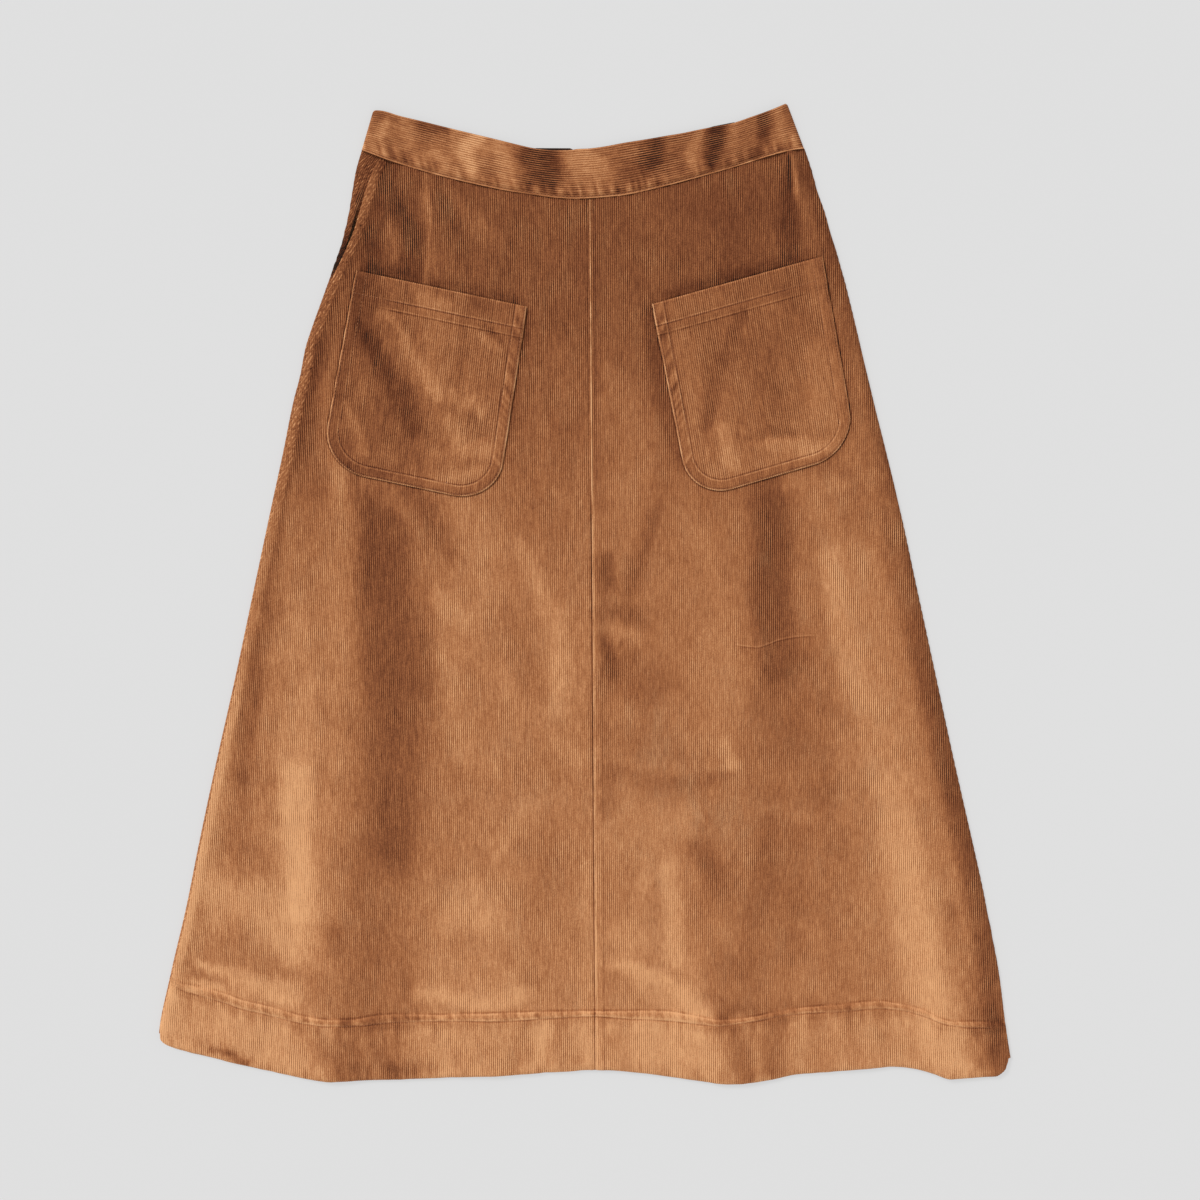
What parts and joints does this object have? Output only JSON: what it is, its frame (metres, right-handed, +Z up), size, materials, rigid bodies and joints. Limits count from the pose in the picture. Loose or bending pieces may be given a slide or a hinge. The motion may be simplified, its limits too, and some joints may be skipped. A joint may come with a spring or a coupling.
{
  "type": "a-line skirt",
  "caption": "Midi-length A-line skirt in fine corduroy with a plain waistband, a centre-front seam, round-cornered patch pockets and a side opening, shut and laid flat.",
  "frame": {"origin": "on the floor, at the middle of the laid skirt's width and length", "axes": "+Y towards the waist, +X towards the wearer's left, +Z up out of the front of the laid skirt"},
  "size_m": [0.793, 0.8838, 0.0085],
  "materials": {
    "back_panel": "fine corduroy, matt pile",
    "front_panel_left": "fine corduroy, matt pile",
    "front_panel_right": "fine corduroy, matt pile",
    "waistband": "fine corduroy, ribs along the band",
    "pocket_left": "fine corduroy, matt pile",
    "pocket_right": "fine corduroy, matt pile"
  },
  "bodies": {
    "root": {"back_panel": "back_panel", "front_panel_left": "front_panel_left", "front_panel_right": "front_panel_right", "waistband": "waistband", "pocket_left": "pocket_left", "pocket_right": "pocket_right"}
  },
  "joints": []
}
